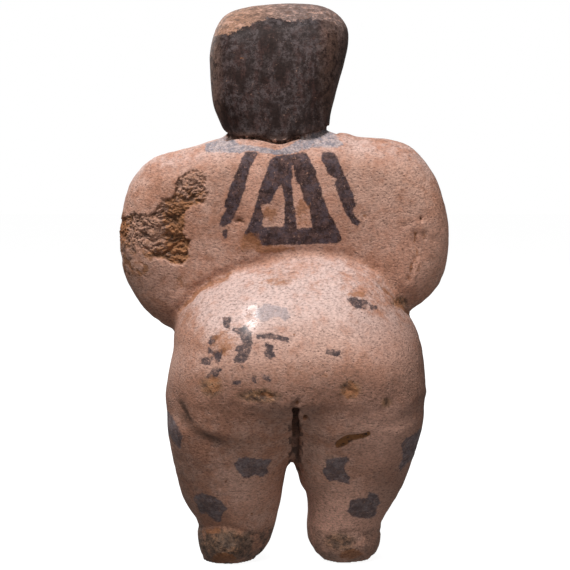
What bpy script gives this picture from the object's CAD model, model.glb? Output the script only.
import math

import bpy
import numpy as np
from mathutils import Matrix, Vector


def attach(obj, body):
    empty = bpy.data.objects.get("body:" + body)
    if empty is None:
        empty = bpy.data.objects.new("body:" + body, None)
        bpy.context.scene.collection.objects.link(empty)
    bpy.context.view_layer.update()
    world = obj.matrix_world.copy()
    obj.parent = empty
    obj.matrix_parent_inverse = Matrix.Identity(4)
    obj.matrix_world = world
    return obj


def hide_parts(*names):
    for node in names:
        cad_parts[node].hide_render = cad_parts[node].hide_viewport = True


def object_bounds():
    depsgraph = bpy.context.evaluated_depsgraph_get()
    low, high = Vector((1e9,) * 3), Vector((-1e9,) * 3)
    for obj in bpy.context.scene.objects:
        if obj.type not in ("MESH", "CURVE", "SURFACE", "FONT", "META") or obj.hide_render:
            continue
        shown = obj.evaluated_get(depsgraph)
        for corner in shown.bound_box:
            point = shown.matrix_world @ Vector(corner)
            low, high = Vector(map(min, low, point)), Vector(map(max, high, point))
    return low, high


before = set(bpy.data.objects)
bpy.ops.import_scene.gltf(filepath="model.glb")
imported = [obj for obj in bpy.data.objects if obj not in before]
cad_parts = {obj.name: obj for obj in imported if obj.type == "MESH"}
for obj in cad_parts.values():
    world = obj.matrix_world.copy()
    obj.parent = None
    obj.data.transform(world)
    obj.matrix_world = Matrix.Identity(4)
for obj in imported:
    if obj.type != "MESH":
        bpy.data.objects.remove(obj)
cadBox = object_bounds()
mm = 0.001
print("frame loaded")

# The masses that the clay was built up from, in millimetres, with +Z up and the back towards +Y. An outline
# is the frontal edge as (x, z) pairs, and a profile is (z, y) pairs. roll is how far in, and how deep, an
# edge is rounded over.
masses = {
    "head": {
        "outline": [
            (12.6, 115), (15.6, 121.6), (18.3, 127), (20.2, 132), (20.9, 140.5), (20.5, 147), (18.3, 154.2),
            (13.8, 158.1), (3, 160), (-8, 160), (-14.4, 157.9), (-18, 153.6), (-18.6, 148.6), (-17.5, 143),
            (-15.9, 137.4), (-14.4, 131.6), (-13.6, 126.4), (-13.6, 115),
        ],
        "back": [(118, 10), (128, 10.8), (140, 10.8), (150, 9.4), (160, 5.5)],
        "front": [(118, -16.4), (126, -19.6), (134, -20.6), (142, -20.4), (150, -19), (160, -14)],
        "roll": (9.5, 11),
    },
    "torso": {
        "outline": [
            (14.6, 122.2), (26.6, 119), (36.2, 116.6), (41.2, 111.6), (44.7, 105), (47.2, 95.5),
            (46.4, 87.6), (43.2, 78), (38.8, 71.6), (30, 66), (15, 61), (-4, 60), (-20, 62), (-32, 69.2),
            (-40.2, 74.6), (-45.2, 80.4), (-47.5, 89), (-46.8, 100), (-43, 110.6), (-37, 118.4),
            (-30.6, 121.2), (-21, 122.4), (-14, 123.6),
        ],
        "back": [(60, 2), (76, 5), (84, 7), (92, 8.6), (102, 10.6), (112, 11.8), (118, 12), (125, 11)],
        "front": [(60, -12), (85, -12.5), (105, -11.5), (125, -9)],
        "roll": (11, 9.5),
    },
    "seat": {
        "outline": [
            (31, 62), (30.4, 69), (26.6, 77), (17, 84), (5, 88.4), (-6, 91), (-17, 90.4), (-26.8, 85.4),
            (-33, 77), (-38.6, 66.5), (-40.1, 58), (-39.4, 48), (-36.6, 38), (-28, 30), (-14, 27),
            (-3.4, 31), (7, 27), (21, 28), (29.6, 36), (32.2, 47), (31.9, 56),
        ],
        "back": [
            (26, 16.4), (34, 20.8), (42, 25), (46.6, 27.6), (50, 29.3), (55, 30), (62, 29.2), (71, 26),
            (90, 15),
        ],
        "front": [(26, -17), (40, -20.5), (50, -24), (60, -26.5), (70, -26), (80, -22), (90, -17)],
        "roll": (20, 25),
    },
    "leftLeg": [
        (31.2, 52), (32.3, 44), (32, 36.5), (30.8, 28), (28.8, 18.6), (26.4, 13.6), (24.2, 10.6),
        (23.4, 6.6), (23.4, 1.4), (20.6, -1.6), (13.6, -1.2), (8.8, 0.6), (5.4, 3), (3.4, 6.4), (1.5, 13),
        (0.3, 18), (-0.4, 23.4), (-1, 29.4), (-1.6, 34), (0, 44), (8, 60), (24, 63),
    ],
    "rightLeg": [
        (-38.4, 52), (-39.1, 44), (-38.3, 36.5), (-36.4, 29), (-33.6, 21), (-30.2, 14), (-28.4, 10),
        (-28, 4), (-24.6, 0.2), (-17.6, -0.4), (-12.6, 1), (-8.8, 4.6), (-7, 9.4), (-6.8, 15.5), (-6.4, 20),
        (-4.9, 22.8), (-4.2, 26), (-3.6, 30.4), (-5, 44), (-14, 60), (-30, 63),
    ],
    "bothLegs": {
        "back": [
            (-2, 5), (3, 7.4), (8, 8), (12, 9.4), (20, 13.6), (28, 17.8), (36, 22), (42, 24.8), (57, 25),
        ],
        "front": [(-2, -12), (9, -13), (20, -16), (30, -18.6), (42, -21), (57, -22)],
        "roll": (12, 13),
    },
    "faceAxis": 1.5,
    "face": {"halfWidth": 12.6, "low": 126.5, "high": 149, "recess": 1.1},
    # Shoulder, elbow, wrist and knuckles
    "arm": [(33, -4.5, 104), (34.4, -8, 86), (15, -22.8, 80), (7.2, -25, 80.6)],
    "armRadius": {"shoulder": 11.8, "elbow": 11.4, "forearm": 10.4, "wrist": 6.2, "knuckles": 4.6},
    "feet": [{"axis": 15.5, "toe": -25, "length": 34.5}, {"axis": -17.5, "toe": -26.6, "length": 34.5}],
    "footHalfWidth": 8.8,
    "neckBreak": {
        "middle": 124.6, "acrossFall": 0.07, "backFall": 0.36,
        "wave": [(-16, 0), (-7, 0.5), (1, -0.3), (8, 0.9), (15.5, 0.1)],  # across the back, as (x, rise)
    },
    "cleft": {"middle": -3.5, "width": 2.2, "low": 26, "high": 48.6, "depth": 9},
}
# How fine the skin is: the cell's size in millimetres. Its faces are split in four near the break, the lost
# skin and the skin coming off beside it, on the face, in the cleft and at two rough spots on the seat, and
# once more nearer to the break and the loss, within the smaller reach.
weave = {
    "cell": 0.85, "settleRounds": 3, "reaches": [2, 0.8],
    "spots": [{"at": (-19.3, 50.2), "size": (3.8, 3.4)}, {"at": (6.8, 48.4), "size": (7, 2.8)}],
}


# Two masses, or one without the other, with a fillet of about the blend's size where they meet: the smaller
# value, less the squared overlap over four blends.
def join(a, b, blend):
    overlap = np.maximum(blend - np.abs(a - b), 0)
    return np.minimum(a, b) - overlap * overlap / (4 * blend)


def cut(a, b, blend):
    return -join(-a, b, blend)


# Runs from 0 to 1 as the value goes from low to high, level at both ends.
def ramp(value, low, high):
    t = np.clip((value - low) / (high - low), 0, 1)
    return t * t * (3 - 2 * t)


# A value that runs smoothly through (key, value) pairs: a cubic between two pairs, with slopes from the
# neighbours on both sides, and level beyond the ends.
def profile(pairs):
    keys, values = np.array(pairs, float).T
    before = np.maximum(np.arange(len(keys)) - 1, 0)
    after = np.minimum(np.arange(len(keys)) + 1, len(keys) - 1)
    slopes = (values[after] - values[before]) / (keys[after] - keys[before])

    def at(key):
        inside = np.clip(key, keys[0], keys[-1])
        i = np.clip(np.searchsorted(keys, inside, side="right") - 1, 0, len(keys) - 2)
        span = keys[i + 1] - keys[i]
        t = (inside - keys[i]) / span
        eased = values[i] + (values[i + 1] - values[i]) * t * t * (3 - 2 * t)
        return eased + t * (1 - t) * ((1 - t) * slopes[i] - t * slopes[i + 1]) * span

    return at


# Points of a closed smooth curve through the pairs: between two of them, half the sum of the four nearest
# pairs times the cubic weights of a Catmull-Rom spline.
def closedCurve(pairs, stepsPerPair=4):
    p = np.array(pairs, float)
    before, start, end, after = (np.roll(p, shift, axis=0)[:, None, :] for shift in (1, 0, -1, -2))
    t = (np.arange(stepsPerPair) / stepsPerPair)[None, :, None]
    curve = 2 * start + (end - before) * t + (2 * before - 5 * start + 4 * end - after) * t**2
    curve = curve + (3 * start - before - 3 * end + after) * t**3
    return (curve / 2).reshape(-1, 2)


# Distance in a plane to a line of straight stretches. Round a closed outline it is less than zero inside,
# where a ray crosses the outline an odd number of times.
def lineDistance(points, closed=True):
    starts = np.array(points, float)
    ends = np.roll(starts, -1, axis=0)
    if not closed:
        starts, ends = starts[:-1], ends[:-1]

    def at(x, z):
        x, z = np.broadcast_arrays(np.asarray(x, float), np.asarray(z, float))
        nearest = np.full(x.shape, np.inf)
        inside = np.zeros(x.shape, bool)
        for (ax, az), (bx, bz) in zip(starts, ends):
            alongX, alongZ = bx - ax, bz - az
            share = ((x - ax) * alongX + (z - az) * alongZ) / (alongX**2 + alongZ**2)
            t = np.clip(share, 0, 1)
            nearest = np.minimum(nearest, (x - ax - alongX * t) ** 2 + (z - az - alongZ * t) ** 2)
            if closed and az != bz:
                inside ^= ((az > z) != (bz > z)) & (x < ax + (z - az) / alongZ * alongX)
        nearest = np.sqrt(nearest)
        return np.where(inside, -nearest, nearest)

    return at


# A mass with a frontal outline, a depth behind and in front, and edges rolled over by an ellipse: how far a
# point is past the start of the rounding, across and in depth, as shares of the roll, taken as one length.
def rolledMass(outline, back, front, roll):
    distance = lineDistance(closedCurve(outline))
    backAt, frontAt = profile(back), profile(front)
    rollIn, rollDeep = roll

    def at(x, y, z):
        behind, before = backAt(z), frontAt(z)
        halfDepth = (behind - before) / 2
        deep = np.minimum(rollDeep, halfDepth)
        u = distance(x, z) / rollIn + 1
        v = (np.abs(y - behind + halfDepth) - halfDepth) / deep + 1
        reach = np.hypot(np.maximum(u, 0), np.maximum(v, 0)) + np.minimum(np.maximum(u, v), 0)
        return (reach - 1) * np.minimum(rollIn, deep)

    return at


# An ellipsoid: the scaled length less one, over how steeply that grows.
def ellipsoid(centre, radii):
    def at(x, y, z):
        u, v, w = (x - centre[0]) / radii[0], (y - centre[1]) / radii[1], (z - centre[2]) / radii[2]
        reach = np.sqrt(u * u + v * v + w * w)
        steepness = np.sqrt((u / radii[0]) ** 2 + (v / radii[1]) ** 2 + (w / radii[2]) ** 2)
        return reach * (reach - 1) / np.maximum(steepness, 1e-9)

    return at


# A tapering roll of clay with round ends: distance to its axis less the radius there.
def taperedRoll(start, startRadius, end, endRadius):
    start = np.array(start, float)
    axis = np.array(end, float) - start

    def at(x, y, z):
        away = (x - start[0], y - start[1], z - start[2])
        t = np.clip(sum(a * b for a, b in zip(away, axis)) / (axis @ axis), 0, 1)
        apart = np.sqrt(sum((a - b * t) ** 2 for a, b in zip(away, axis)))
        return apart - startRadius - (endRadius - startRadius) * t

    return at


# Height of the mended break: it falls towards the back and towards the figure's left, and waves at the back.
def breakLevel(x, y):
    seam = masses["neckBreak"]
    wave = profile(seam["wave"])(x) * ramp(y, 0, 8)
    return seam["middle"] - seam["acrossFall"] * x - seam["backFall"] * np.maximum(y, 0) + wave


# How far a point is from the middle of the face window, where 1 is its edge: a fourth-power oval.
def faceReach(x, z):
    face = masses["face"]
    middle = (face["low"] + face["high"]) / 2
    across = (x - masses["faceAxis"]) / face["halfWidth"]
    along = (z - middle) / (face["high"] - middle)
    return (across**4 + along**4) ** 0.25


# The block of hair with the face set a little into its front, cut off level with the break.
def makeHead():
    axis = masses["faceAxis"]
    block = rolledMass(**masses["head"])
    nose = taperedRoll((axis, -18.4, 144.5), 1.7, (axis, -21.6, 136.6), 2.6)
    brow = taperedRoll((axis - 8, -17.6, 145.2), 1.9, (axis + 8, -17.6, 145.2), 1.9)
    eyes = [ellipsoid((axis + side * 5.6, -18.7, 140.8), (3.4, 1.9, 1.7)) for side in (-1, 1)]
    lips = taperedRoll((axis - 3, -19.2, 131.4), 1.3, (axis + 3, -19.2, 131.4), 1.3)
    chin = ellipsoid((axis, -15.6, 127.6), (7, 4.6, 3.8))

    def at(x, y, z):
        within = np.where(y < -8, 1 - ramp(faceReach(x, z) ** 4, 0.7, 1.15), 0)
        d = block(x, y, z) + masses["face"]["recess"] * within
        d = join(d, nose(x, y, z), 1.6)
        d = join(d, brow(x, y, z), 2.2)
        for eye in eyes:
            d = join(d, eye(x, y, z), 0.6)
        d = join(d, lips(x, y, z), 1.2)
        d = join(d, chin(x, y, z), 3)
        return cut(d, z - breakLevel(x, y), 1.6)

    return at


# The upper arm hangs at the side, and the forearm crosses to the belly and ends in a mitten hand.
def makeArm(side):
    shoulder, elbow, wrist, knuckles = ((side * x, y, z) for x, y, z in masses["arm"])
    radius = masses["armRadius"]
    upper = taperedRoll(shoulder, radius["shoulder"], elbow, radius["elbow"])
    fore = taperedRoll(elbow, radius["forearm"], wrist, radius["wrist"])
    hand = taperedRoll(wrist, radius["wrist"], knuckles, radius["knuckles"])
    return lambda x, y, z: join(upper(x, y, z), join(fore(x, y, z), hand(x, y, z), 2), 4)


def makeFoot(foot):
    middle = foot["toe"] + foot["length"] / 2
    sole = ellipsoid((foot["axis"], middle, 5.3), (masses["footHalfWidth"], foot["length"] / 2, 6.6))
    instep = ellipsoid((foot["axis"], middle + 5, 8), (9, 11.5, 7))
    return lambda x, y, z: join(sole(x, y, z), instep(x, y, z), 3)


# Trunk, chest and breasts, neck and both arms.
def makeUpperBody():
    axis = masses["faceAxis"]
    slab = rolledMass(**masses["torso"])
    chest = ellipsoid((1, -6.5, 101), (19, 9.6, 22))
    breasts = [ellipsoid((1 + side * 9, -13.8, 98.4), (6.6, 4.6, 6)) for side in (-1, 1)]
    neck = taperedRoll((axis, -3.4, 112), 13, (axis, -3.4, 126), 13)
    arms = [makeArm(1), makeArm(-1)]

    def at(x, y, z):
        d = join(slab(x, y, z), chest(x, y, z), 4)
        for breast in breasts:
            d = join(d, breast(x, y, z), 2.5)
        d = join(d, neck(x, y, z), 5)
        for arm in arms:
            d = join(d, arm(x, y, z), 2.5)
        return d

    return at


# The broad seat, both legs and feet, and the cut between the legs.
def makeLowerBody():
    rump = rolledMass(**masses["seat"])
    legs = [rolledMass(masses[name], **masses["bothLegs"]) for name in ("leftLeg", "rightLeg")]
    soles = [makeFoot(foot) for foot in masses["feet"]]
    backAt = profile(masses["seat"]["back"])
    cleft = masses["cleft"]

    def at(x, y, z):
        left, right = (join(leg(x, y, z), sole(x, y, z), 3) for leg, sole in zip(legs, soles))
        d = join(rump(x, y, z), join(left, right, 1.4), 5)
        aside = np.abs(x - cleft["middle"]) - cleft["width"] / 2
        slot = np.maximum(np.maximum(aside, z - cleft["high"]), cleft["low"] - z)
        slot = np.maximum(slot, backAt(z) - cleft["depth"] - y)
        return cut(d, slot, 0.6)

    return at


# The whole figure. The head rests on the neck, and nothing goes below the ground.
def makeFigure():
    skull, upper, lower = makeHead(), makeUpperBody(), makeLowerBody()

    def at(x, y, z):
        below = join(upper(x, y, z), lower(x, y, z), 2)
        return np.maximum(np.minimum(skull(x, y, z), below), -z)

    return at


# The skin of a field over a grid: one point in each cell that the skin crosses, the mean of the places where
# it crosses the cell's edges, and a square across each grid edge that it cuts.
def netSkin(field, lines):
    values = field(lines[0][:, None, None], lines[1][None, :, None], lines[2][None, None, :])
    shape = np.array(values.shape)
    strides = np.array([shape[1] * shape[2], shape[2], 1])
    sums = np.zeros((values.size, 3))
    counts = np.zeros(values.size)
    squares = []
    for axis in range(3):
        ahead = [slice(None)] * 3
        ahead[axis] = slice(1, None)
        behind = [slice(None)] * 3
        behind[axis] = slice(0, -1)
        lower, upper = values[tuple(behind)], values[tuple(ahead)]
        place = np.argwhere((lower < 0) != (upper < 0))
        a, b = lower[tuple(place.T)], upper[tuple(place.T)]
        t = a / (a - b)
        points = np.stack([lines[other][place[:, other]] for other in range(3)], axis=1)
        points[:, axis] += t * (lines[axis][place[:, axis] + 1] - lines[axis][place[:, axis]])
        second, third = strides[(axis + 1) % 3], strides[(axis + 2) % 3]
        corner = place @ strides
        around = np.stack([corner, corner - second, corner - second - third, corner - third], axis=1)
        for cells in around.T:
            counts += np.bincount(cells, minlength=values.size)
            for other in range(3):
                sums[:, other] += np.bincount(cells, weights=points[:, other], minlength=values.size)
        around[a >= 0] = around[a >= 0][:, ::-1]
        squares.append(around)
    used = np.flatnonzero(counts)
    order = np.zeros(values.size, np.int64)
    order[used] = np.arange(len(used))
    return sums[used] / counts[used, None], order[np.concatenate(squares)]


# The field's value and slope at scattered points, the slope from small steps along each axis.
def fieldSlope(field, points):
    probe = 0.02
    here = field(*points.T)
    slope = np.stack([
        field(*(points + probe * np.eye(3)[axis]).T) - here for axis in range(3)
    ], axis=1) / probe
    return here, slope


# Draws each point to the mean of its neighbours along the skin, and puts it back on the skin by one step
# of Newton's rule, value over slope, no longer than half a cell.
def settle(field, points, faces, rounds):
    starts, ends = faces.ravel(), np.roll(faces, -1, axis=1).ravel()
    joined = np.concatenate([starts, ends]), np.concatenate([ends, starts])
    counts = np.bincount(joined[0], minlength=len(points))[:, None]
    for _ in range(rounds):
        sums = [
            np.bincount(joined[0], weights=points[joined[1], axis], minlength=len(points))
            for axis in range(3)
        ]
        pull = np.stack(sums, axis=1) / counts - points
        here, slope = fieldSlope(field, points)
        steepness = np.maximum(np.linalg.norm(slope, axis=1, keepdims=True), 0.3)
        normal = slope / steepness
        pull -= normal * np.sum(pull * normal, axis=1, keepdims=True)
        push = np.clip(-here[:, None] / steepness, -weave["cell"] / 2, weave["cell"] / 2)
        points = points + 0.5 * pull + normal * push
    return points, normal


# Cuts each square into two triangles along its shorter diagonal.
def cutAcross(points, squares):
    a, b, c, d = squares.T
    first = np.linalg.norm(points[a] - points[c], axis=1) <= np.linalg.norm(points[b] - points[d], axis=1)
    one = np.where(first[:, None], np.stack([a, b, c], axis=1), np.stack([a, b, d], axis=1))
    other = np.where(first[:, None], np.stack([a, c, d], axis=1), np.stack([b, c, d], axis=1))
    return np.concatenate([one, other])


# Splits at its middle every triangle side whose ends are both wanted finer. A triangle with one, two or
# three split sides becomes two, three or four triangles, so that no gap opens.
def splitWhere(points, faces, wanted):
    sides = np.sort(np.stack([faces, np.roll(faces, -1, axis=1)], axis=2).reshape(-1, 2), axis=1)
    keys, back = np.unique(sides[:, 0] * len(points) + sides[:, 1], return_inverse=True)
    ends = np.stack([keys // len(points), keys % len(points)], axis=1)
    split = wanted[ends].all(axis=1)
    number = np.where(split, len(points) + np.cumsum(split) - 1, -1)
    middles = number[back].reshape(-1, 3)
    counts = (middles >= 0).sum(axis=1)
    turn = np.where(counts == 1, (middles >= 0).argmax(axis=1), ((middles < 0).argmax(axis=1) + 1) % 3)
    order = (np.arange(3) + np.where(counts == 3, 0, turn)[:, None]) % 3
    a, b, c = np.take_along_axis(faces, order, axis=1).T
    ab, bc, ca = np.take_along_axis(middles, order, axis=1).T
    patterns = {
        0: [(a, b, c)],
        1: [(a, ab, c), (ab, b, c)],
        2: [(ab, b, bc), (a, ab, bc), (a, bc, c)],
        3: [(a, ab, ca), (ab, b, bc), (ca, bc, c), (ab, bc, ca)],
    }
    made = [np.stack(part, axis=1)[counts == count] for count, parts in patterns.items() for part in parts]
    return np.concatenate([points, points[ends[split]].mean(axis=1)]), np.concatenate(made)


# Where each point of the skin shows from the standing viewpoint behind the figure, in millimetres in the
# plane through its axis. Marks on the back are placed in this plane, so they sit where the eye sees them.
viewpoint = {"distance": 453, "elevation": math.radians(4), "aimX": -0.572, "aimZ": 79.9, "planeZ": 80.14}


def seenFromBehind(points):
    rise, level = math.sin(viewpoint["elevation"]), math.cos(viewpoint["elevation"])
    away = points - np.array([viewpoint["aimX"], 0, viewpoint["aimZ"]])
    nearness = viewpoint["distance"] / (viewpoint["distance"] - away @ np.array([0, level, rise]))
    return (
        viewpoint["aimX"] + away[:, 0] * nearness,
        viewpoint["planeZ"] + away @ np.array([0, -rise, level]) * nearness,
    )


# Where skin is lost from the left arm, seen from behind.
armLoss = {
    "outline": [
        (30.3, 111), (27.5, 112.8), (23.8, 113.6), (22, 112.2), (21, 110.2), (22.2, 107.9), (20.9, 106.8),
        (22.2, 102.7), (25.5, 102.5), (27.6, 100.5), (28.5, 98.5), (28.5, 94.4), (26.6, 93), (26.3, 90.2),
        (26.6, 86.7), (28.6, 85.6), (32.1, 86.4), (36.3, 87.6), (41.8, 89.6), (46.7, 90.7), (50.9, 94.2),
        (49.2, 99.2), (41.5, 100.7), (39.8, 99.9), (37.8, 100.5), (35.5, 103), (34.6, 104.2), (32.3, 105.3),
        (30.9, 107), (30.6, 108.5),
    ],
    "ragged": 0.55,  # how far its edge wanders
    "frayed": {"at": (43.5, 88), "size": (8.5, 6.5)},  # where the skin next to it comes off in bits
    "hollow": {"at": (31, 91), "size": (7, 6)},  # where it is deepest
}


# How far a place is from the middle of a spot, where 1 is its edge.
def spotReach(spot, x, z):
    return np.hypot((x - spot["at"][0]) / spot["size"][0], (z - spot["at"][1]) / spot["size"][1])


# 1 in the middle of a spot, and less by a bell curve further out: a third at its edge.
def nearSpot(spot, x, z):
    return np.exp(-(spotReach(spot, x, z) ** 2))


# Which points lie where the skin is worked finer: near the break and the loss, and at the wider reach at the
# rough spots, where skin comes off beside the loss, on the face and in the cleft too.
def workedFine(points, reach):
    x, y, z = points.T
    neckReach = np.hypot(x - masses["faceAxis"], y + 4)
    fine = (np.abs(z - breakLevel(x, y)) < reach) & (neckReach < 20)
    seenX, seenZ = seenFromBehind(points)
    fine |= (lineDistance(armLoss["outline"])(seenX, seenZ) < reach / 2) & (y > -3)
    if reach == max(weave["reaches"]):
        for spot in weave["spots"]:
            fine |= (spotReach(spot, seenX, seenZ) < 1) & (y > 0)
        fine |= (spotReach(armLoss["frayed"], seenX, seenZ) < 1) & (y > -5)
        fine |= (faceReach(x, z) < 1.05) & (y < -12)
        fine |= (np.abs(x - masses["cleft"]["middle"]) < 2.6) & (y > 8) & (z > 24) & (z < 49)
    return fine


field = makeFigure()
spans = [(-51, 51), (-32, 34), (-2.4, 163)]
skinPoints, skinSquares = netSkin(field, [np.arange(low, high, weave["cell"]) for low, high in spans])
skinPoints, skinNormals = settle(field, skinPoints, skinSquares, weave["settleRounds"])
skinFaces = cutAcross(skinPoints, skinSquares)
for reach in weave["reaches"]:
    skinPoints, skinFaces = splitWhere(skinPoints, skinFaces, workedFine(skinPoints, reach))
    skinPoints, skinNormals = settle(field, skinPoints, skinFaces, 1)
skinPoints[:, 2] = np.where(skinPoints[:, 2] < 0.3, 0, skinPoints[:, 2])
print("skin:", len(skinPoints), "points,", len(skinFaces), "triangles")


# A number from 0 to 1 for each lattice corner, mixed from its three counts and a seed.
def hashed(i, j, k, seed):
    mixers = (374761393, 668265263, 2246822519, 3266489917)
    word = sum((np.asarray(v, np.int64) & 0xFFFF) * m for v, m in zip((i, j, k, seed), mixers))
    word = word & 0xFFFFFFFF
    word = ((word ^ (word >> 15)) * mixers[0]) & 0xFFFFFFFF
    return ((word ^ (word >> 13)) & 0xFFFFFF) / 0xFFFFFF


# Smooth noise from 0 to 1: the hashed numbers at the eight corners round a point, blended by eased weights.
def lumps(points, size, seed):
    scaled = points / size
    base = np.floor(scaled).astype(np.int64)
    eased = scaled - base
    eased = eased * eased * (3 - 2 * eased)
    total = 0
    for step in np.ndindex(2, 2, 2):
        weight = np.prod(np.where(np.array(step) == 1, eased, 1 - eased), axis=1)
        total = total + weight * hashed(*(base + step).T, seed)
    return total


# Round pits: one point in each lattice cell, moved about inside it and kept by chance. The depth falls from
# 1 over such a point to 0 at the pit's own radius.
def pits(points, spacing, radius, kept, seed):
    scaled = points / spacing
    base = np.floor(scaled).astype(np.int64)
    deepest = np.zeros(len(points))
    for step in np.ndindex(3, 3, 3):
        cell = (base + step - 1).T
        centre = np.stack([cell[axis] + hashed(*cell, seed + axis) for axis in range(3)], axis=1)
        away = np.linalg.norm(scaled - centre, axis=1) * spacing
        own = radius * (0.4 + 0.6 * hashed(*cell, seed + 3))
        depth = np.where(hashed(*cell, seed + 4) < kept, 1 - ramp(away / own, 0.3, 1), 0)
        deepest = np.maximum(deepest, depth)
    return deepest


seenX, seenZ = seenFromBehind(skinPoints)
atBack = ramp(skinPoints[:, 1], -5, 0)  # 1 behind, 0 in front

# Folds, cracks and scratches as lines seen from behind: half widths and depths, run evenly along the line.
strokes = {
    "seatEdge": {
        "line": [
            (28.8, 75), (24.2, 79.4), (17.8, 82.8), (10.6, 85.6), (3.4, 87.8), (-6, 89.8), (-18, 88.4),
            (-26.6, 84.6),
        ],
        "width": (1.8, 2.6, 2.2), "depth": (0.5, 0.5, 0.35, 0.3),
    },
    "leftAnkle": {
        "line": [(25, 11), (19, 11.2), (14, 10.2), (8, 8.6)],
        "width": (1.1, 1.3, 1), "depth": (0.5, 0.7, 0.3),
    },
    "rightAnkle": {
        "line": [(-29, 10.6), (-24, 8.8), (-17, 9.6), (-11, 8.4)],
        "width": (0.9, 1.2, 0.8), "depth": (0.3, 0.5, 0.2),
    },
    "rightSeatFold": {
        "line": [(-40.4, 46.7), (-37.2, 43.5), (-32.9, 40.1), (-27.8, 37)],
        "width": (3, 3), "depth": (0.5, 0.1),
    },
    "scratch": {
        "line": [(-16, 34.3), (-19.2, 36), (-24.8, 37.3)],
        "width": (2, 1.9, 1.2), "depth": (0.7, 0.5),
    },
    "armCrack": {
        "line": [(-37.9, 95), (-38.4, 88.7), (-37.1, 86.1), (-35.8, 81.5)],
        "width": (0.8, 0.8), "depth": (0.5, 0.5),
    },
    "hipCrease": {
        "line": [(-27.4, 80.8), (-30, 78.6), (-32, 76.6), (-34.3, 74.1), (-36.5, 72)],
        "width": (0.6, 1, 1.1), "depth": (0.2, 0.6, 0.6),
    },
    "waistCrease": {
        "line": [(30, 73), (25.5, 77.8), (20.5, 81.4), (14.6, 83.8)],
        "width": (0.9, 0.9, 0.6), "depth": (0.6, 0.5, 0.2),
    },
    "ledgeCrack": {
        "line": [(-12.9, 125.2), (-16.6, 123.4)],
        "width": (0.7, 0.4), "depth": (0.7, 0.3),
    },
    "lossCrack": {
        "line": [(27.5, 92.8), (30.8, 91.2), (34.4, 88.4)],
        "width": (0.7, 0.6), "depth": (0.7, 0.5),
    },
}
# Where the seat hangs over the left thigh, seen from behind.
seatFold = [
    (33, 54), (31.2, 49.4), (29.9, 46.9), (28.7, 44.4), (27.3, 41.5), (24.7, 39), (20.7, 37.3),
    (17.5, 36.2),
    (14.4, 35.3), (11, 34.6), (6, 34),
]
# Single dents seen from behind: place, half sizes across and along, and depth.
dents = [
    {"at": (12.8, 98.1), "size": (1.7, 0.8), "depth": 1.3},
    {"at": (-39.4, 99.4), "size": (0.8, 1), "depth": 0.7},
    {"at": (-38.1, 92.6), "size": (1, 2.6), "depth": 0.45},
    {"at": (-40.8, 94.4), "size": (0.8, 1.6), "depth": 0.35},
    {"at": (-26.6, 85), "size": (1.8, 1), "depth": 0.4},
    {"at": (-5.9, 41.8), "size": (1.1, 1.3), "depth": 1.2},
    {"at": (-3, 66.1), "size": (0.7, 0.8), "depth": 0.4},
    {"at": (-19.4, 49), "size": (3.2, 2.4), "depth": 0.3},
    {"at": (8.6, 14.6), "size": (0.8, 0.5), "depth": 0.5},
    {"at": (16, 23.8), "size": (0.8, 0.7), "depth": 0.4},
    {"at": (-4, 46), "size": (1.2, 1.1), "depth": 1.2}, {"at": (5.2, 48.7), "size": (4, 1.1), "depth": 0.3},
    {"at": (-23.4, 100), "size": (1.4, 1.1), "depth": 0.35},
    {"at": (11.2, 145), "size": (1.3, 0.5), "depth": 0.2},
]
# Scabs seen from behind: rough places where the slip is gone and the clay crumbles.
scabs = [
    {"at": (-19.3, 50.2), "size": (3.3, 3)}, {"at": (6.8, 48.4), "size": (6.6, 2.3)},
    {"at": (-29.4, 46.6), "size": (1.6, 1.6)}, {"at": (16.5, 6), "size": (8.5, 4.6)},
    {"at": (-16.2, 6.6), "size": (5, 3)}, {"at": (20.5, 51), "size": (3.6, 3.4)},
    {"at": (-33.6, 75.2), "size": (2.6, 1.6)},
]
# On the front, seen straight on: grooves between the fingers of both hands and between the toes.
frontStrokes = {
    f"finger{side}{height}": {
        "line": [(side * 3.4, height), (side * 10.5, height - 0.3)], "width": (0.7, 0.5), "depth": (0.6, 0.3),
    }
    for side in (-1, 1) for height in (78.4, 80.6, 82.8)
}
frontStrokes |= {
    f"toe{foot['axis']}{aside}": {
        "line": [(foot["axis"] + aside, 0.6), (foot["axis"] + aside * 0.85, 7.5)],
        "width": (0.6, 0.5), "depth": (0.7, 0.2),
    }
    for foot in masses["feet"] for aside in (-5, -2, 1.2, 4.4)
}
frontDents = [{"at": (1.5, 70), "size": (1.3, 1.6), "depth": 1.0}]  # the navel


# How near each point is to a stroke's line, 1 on it and 0 at its half width and beyond, and the depth that
# the stroke has there.
def strokeDepth(stroke, x, z):
    line = np.array(stroke["line"])
    axis = line[-1] - line[0]
    along = np.clip(((x - line[0, 0]) * axis[0] + (z - line[0, 1]) * axis[1]) / (axis @ axis), 0, 1)
    runs = (stroke["width"], stroke["depth"])
    width, depth = (np.interp(along, np.linspace(0, 1, len(run)), run) for run in runs)
    near = 1 - ramp(lineDistance(line, closed=False)(x, z) / width, 0.15, 1)
    return near, near * depth


# Smooth noise between minus and plus the reach.
def wander(points, size, reach, seed):
    return (lumps(points, size, seed) - 0.5) * 2 * reach


wornX = seenX + wander(skinPoints, 2.4, 0.5, 11)
wornZ = seenZ + wander(skinPoints, 2.4, 0.5, 12)
frontX, frontY, frontZ = skinPoints.T

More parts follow.
